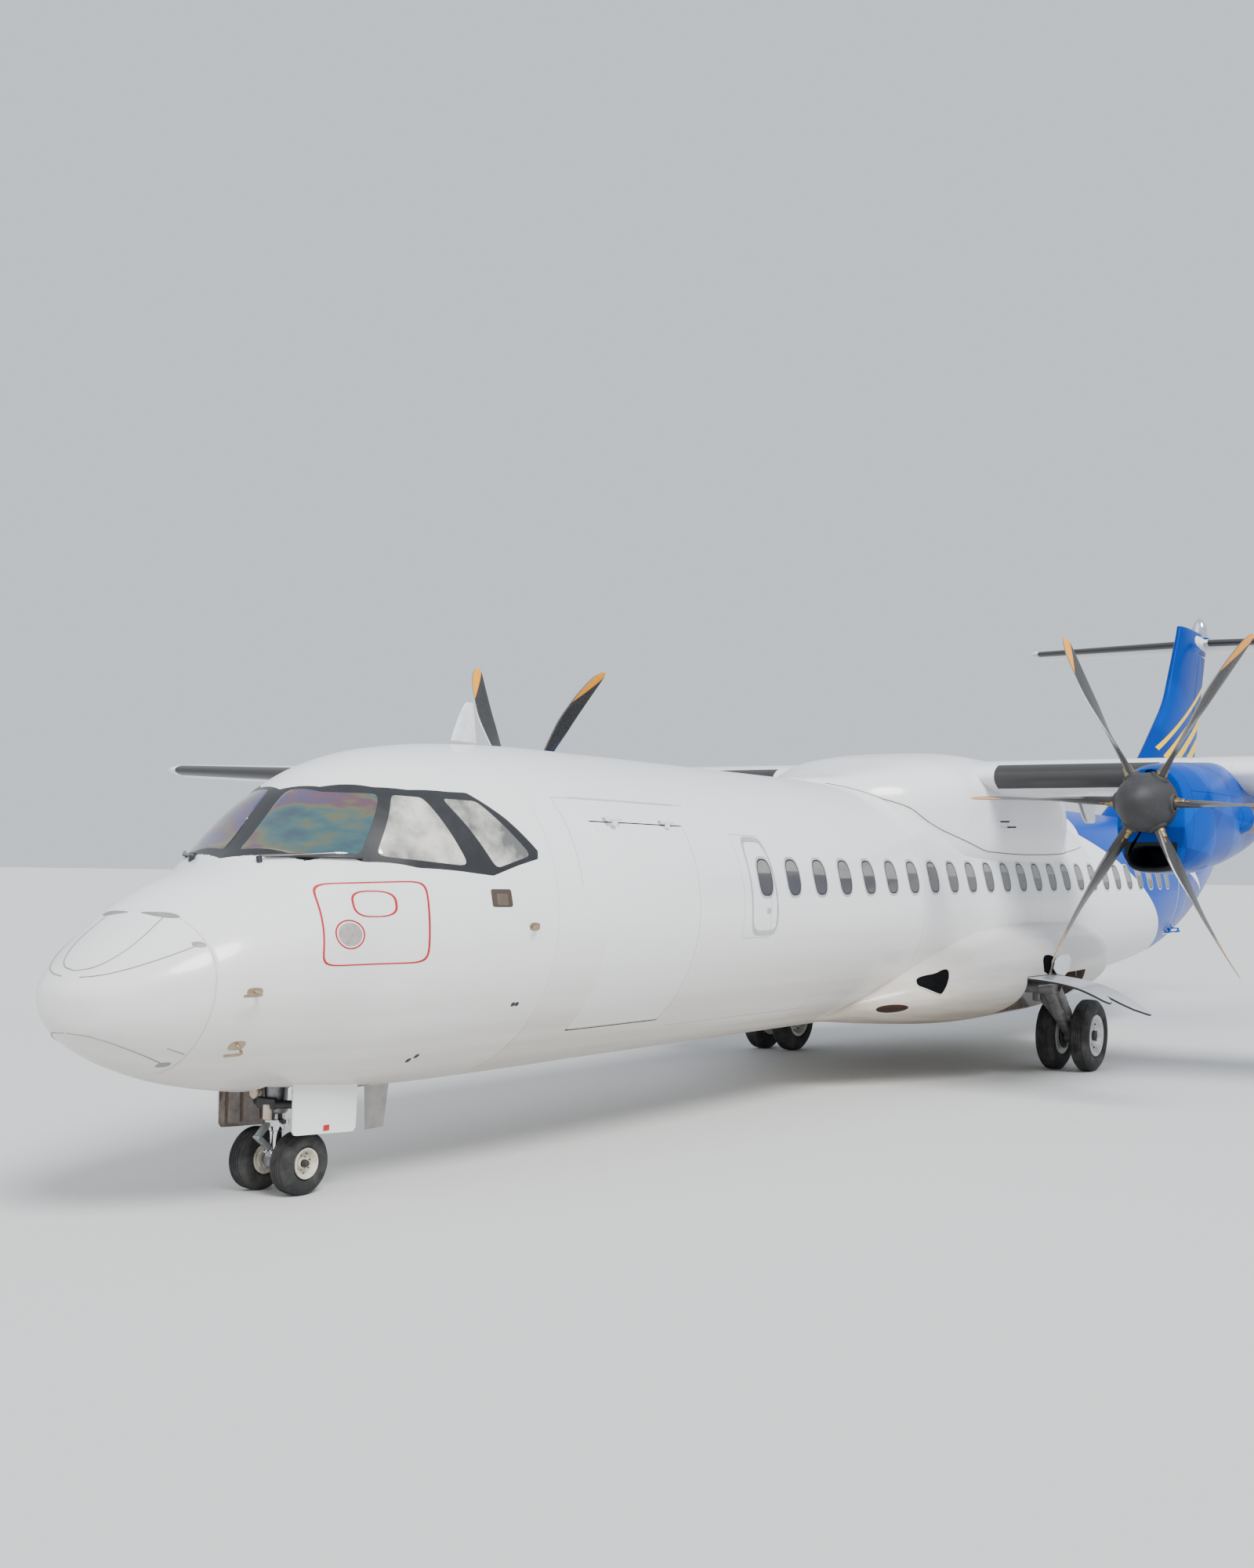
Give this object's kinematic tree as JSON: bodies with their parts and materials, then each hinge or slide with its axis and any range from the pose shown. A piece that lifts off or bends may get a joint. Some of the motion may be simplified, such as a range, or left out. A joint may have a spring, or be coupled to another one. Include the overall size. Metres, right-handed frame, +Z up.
{
  "type": "turboprop airliner",
  "caption": "High-wing regional airliner on its landing gear, with turning propellers and wheels, nose steering, hinged doors, flaps, ailerons, elevators and rudder.",
  "frame": {"origin": "on the ground, under the middle of the length and of the span", "axes": "+X to the aircraft's left (port), +Y aft, from nose to tail, +Z up"},
  "size_m": [27.05, 27.166, 7.41],
  "materials": {
    "white_paint": "gloss white aircraft paint",
    "blue_paint": "gloss blue aircraft paint",
    "cockpit_glass": "dark laminated cockpit panes in a black surround",
    "spinner_grey": "matt dark grey spinner shell",
    "blade_black": "satin black composite blades with amber tips",
    "gear_steel": "greasy machined landing gear metal",
    "tyre_rubber": "worn aircraft tyre rubber",
    "hub_cream": "cream painted wheel rims",
    "engine_metal": "plain engine block",
    "exhaust_metal": "heat-stained exhaust pipe",
    "antenna_white": "gloss white aerial"
  },
  "bodies": {
    "airframe": {"radome": "white_paint", "nose_section": "white_paint", "forward_fuselage": "white_paint", "centre_fuselage": "white_paint", "rear_fuselage": "blue_paint", "tail_cone": "blue_paint", "cockpit_glazing_left": "cockpit_glass", "cockpit_glazing_right": "cockpit_glass", "belly_fairing": "white_paint", "wing_fairing": "white_paint", "wing_center": "white_paint", "wing_left": "white_paint", "wing_right": "white_paint", "nacelle_left": "blue_paint", "engine_left": "engine_metal", "exhaust_left": "exhaust_metal", "nacelle_right": "blue_paint", "engine_right": "engine_metal", "exhaust_right": "exhaust_metal", "tailplane": "white_paint", "fin": "blue_paint", "nose_leg": "gear_steel", "nose_gear_door_left": "white_paint", "nose_gear_door_right": "white_paint", "main_leg_left": "gear_steel", "main_gear_door_left": "white_paint", "main_leg_right": "gear_steel", "main_gear_door_right": "white_paint", "roof_antenna": "antenna_white", "belly_antenna": "antenna_white"},
    "propeller_assembly_left": {"propeller_left": "blade_black", "spinner_left": "spinner_grey"},
    "propeller_assembly_right": {"propeller_right": "blade_black", "spinner_right": "spinner_grey"},
    "nose_steering_strut": {"nose_strut": "gear_steel"},
    "nose_wheels": {"nose_rims": "hub_cream", "nose_tyre_left": "tyre_rubber", "nose_tyre_right": "tyre_rubber"},
    "main_wheels_left": {"main_rims_left": "hub_cream", "main_tyre_inner_left": "tyre_rubber", "main_tyre_outer_left": "tyre_rubber"},
    "main_wheels_right": {"main_rims_right": "hub_cream", "main_tyre_inner_right": "tyre_rubber", "main_tyre_outer_right": "tyre_rubber"},
    "cargo_door_panel": {"cargo_door": "white_paint"},
    "entry_door_panel": {"entry_door": "blue_paint"},
    "rudder_surface": {"rudder": "blue_paint"},
    "elevator_surface_left": {"elevator_left": "white_paint"},
    "elevator_surface_right": {"elevator_right": "white_paint"},
    "aileron_surface_left": {"aileron_left": "white_paint"},
    "aileron_surface_right": {"aileron_right": "white_paint"},
    "flap_surface_inner_left": {"flap_inner_left": "white_paint"},
    "flap_surface_inner_right": {"flap_inner_right": "white_paint"},
    "flap_surface_outer_left": {"flap_outer_left": "white_paint"},
    "flap_surface_outer_right": {"flap_outer_right": "white_paint"}
  },
  "joints": [
    {"name": "propeller_left_spin", "type": "hinge", "parent": "airframe", "child": "propeller_assembly_left", "pos_m": [3.95, -4.133, 3.09], "axis": [0, 1, 0], "continuous": true},
    {"name": "propeller_right_spin", "type": "hinge", "parent": "airframe", "child": "propeller_assembly_right", "pos_m": [-3.95, -4.133, 3.09], "axis": [0, 1, 0], "continuous": true},
    {"name": "nose_steering", "type": "hinge", "parent": "airframe", "child": "nose_steering_strut", "pos_m": [0, -11.773, 0.5], "axis": [0, 0, 1], "range_deg": [-60, 60]},
    {"name": "nose_wheels_spin", "type": "hinge", "parent": "nose_steering_strut", "child": "nose_wheels", "pos_m": [0, -11.743, 0.22307], "axis": [1, 0, 0], "continuous": true},
    {"name": "main_wheels_left_spin", "type": "hinge", "parent": "airframe", "child": "main_wheels_left", "pos_m": [2.05, -0.973, 0.4283], "axis": [1, 0, 0], "continuous": true},
    {"name": "main_wheels_right_spin", "type": "hinge", "parent": "airframe", "child": "main_wheels_right", "pos_m": [-2.05, -0.973, 0.4283], "axis": [1, 0, 0], "continuous": true},
    {"name": "cargo_door_hinge", "type": "hinge", "parent": "airframe", "child": "cargo_door_panel", "pos_m": [1.2441, -9.078, 2.736], "axis": [0, -1, 0], "range_deg": [0, 110]},
    {"name": "entry_door_hinge", "type": "hinge", "parent": "airframe", "child": "entry_door_panel", "pos_m": [1.03663, 6.657, 1.474], "axis": [0, 1, 0], "range_deg": [0, 120]},
    {"name": "rudder_hinge", "type": "hinge", "parent": "airframe", "child": "rudder_surface", "pos_m": [0, 10.177, 3.56], "axis": [0, 0.3867, 0.9222], "range_deg": [-27, 27]},
    {"name": "elevator_left_hinge", "type": "hinge", "parent": "airframe", "child": "elevator_surface_left", "pos_m": [1.8, 12.817, 6.905], "axis": [1, 0, 0], "range_deg": [-13, 23]},
    {"name": "elevator_right_hinge", "type": "hinge", "parent": "airframe", "child": "elevator_surface_right", "pos_m": [-1.8, 12.817, 6.905], "axis": [1, 0, 0], "range_deg": [-13, 23]},
    {"name": "aileron_left_hinge", "type": "hinge", "parent": "airframe", "child": "aileron_surface_left", "pos_m": [9.56, -0.243, 3.7037], "axis": [0.999, 0, 0.0437], "range_deg": [-14, 14]},
    {"name": "aileron_right_hinge", "type": "hinge", "parent": "airframe", "child": "aileron_surface_right", "pos_m": [-9.56, -0.243, 3.7037], "axis": [0.999, 0, -0.0437], "range_deg": [-14, 14]},
    {"name": "flap_inner_left_hinge", "type": "hinge", "parent": "airframe", "child": "flap_surface_inner_left", "pos_m": [2, -0.163, 3.07], "axis": [-1, 0, 0], "range_deg": [0, 35]},
    {"name": "flap_outer_left_hinge", "type": "hinge", "parent": "airframe", "child": "flap_surface_outer_left", "pos_m": [5.7, -0.163, 3.10497], "axis": [-0.999, 0, -0.0437], "range_deg": [0, 35]},
    {"name": "flap_inner_right_hinge", "type": "hinge", "parent": "airframe", "child": "flap_surface_inner_right", "pos_m": [-2, -0.163, 3.07], "axis": [-1, 0, 0], "range_deg": [0, 35]},
    {"name": "flap_outer_right_hinge", "type": "hinge", "parent": "airframe", "child": "flap_surface_outer_right", "pos_m": [-5.7, -0.163, 3.10497], "axis": [-0.999, 0, 0.0437], "range_deg": [0, 35]}
  ],
  "couplings": [
    {"joint": "elevator_right_hinge", "follows": "elevator_left_hinge", "ratio": 1},
    {"joint": "aileron_right_hinge", "follows": "aileron_left_hinge", "ratio": -1},
    {"joint": "flap_inner_right_hinge", "follows": "flap_inner_left_hinge", "ratio": 1},
    {"joint": "flap_outer_left_hinge", "follows": "flap_inner_left_hinge", "ratio": 1},
    {"joint": "flap_outer_right_hinge", "follows": "flap_inner_left_hinge", "ratio": 1}
  ]
}
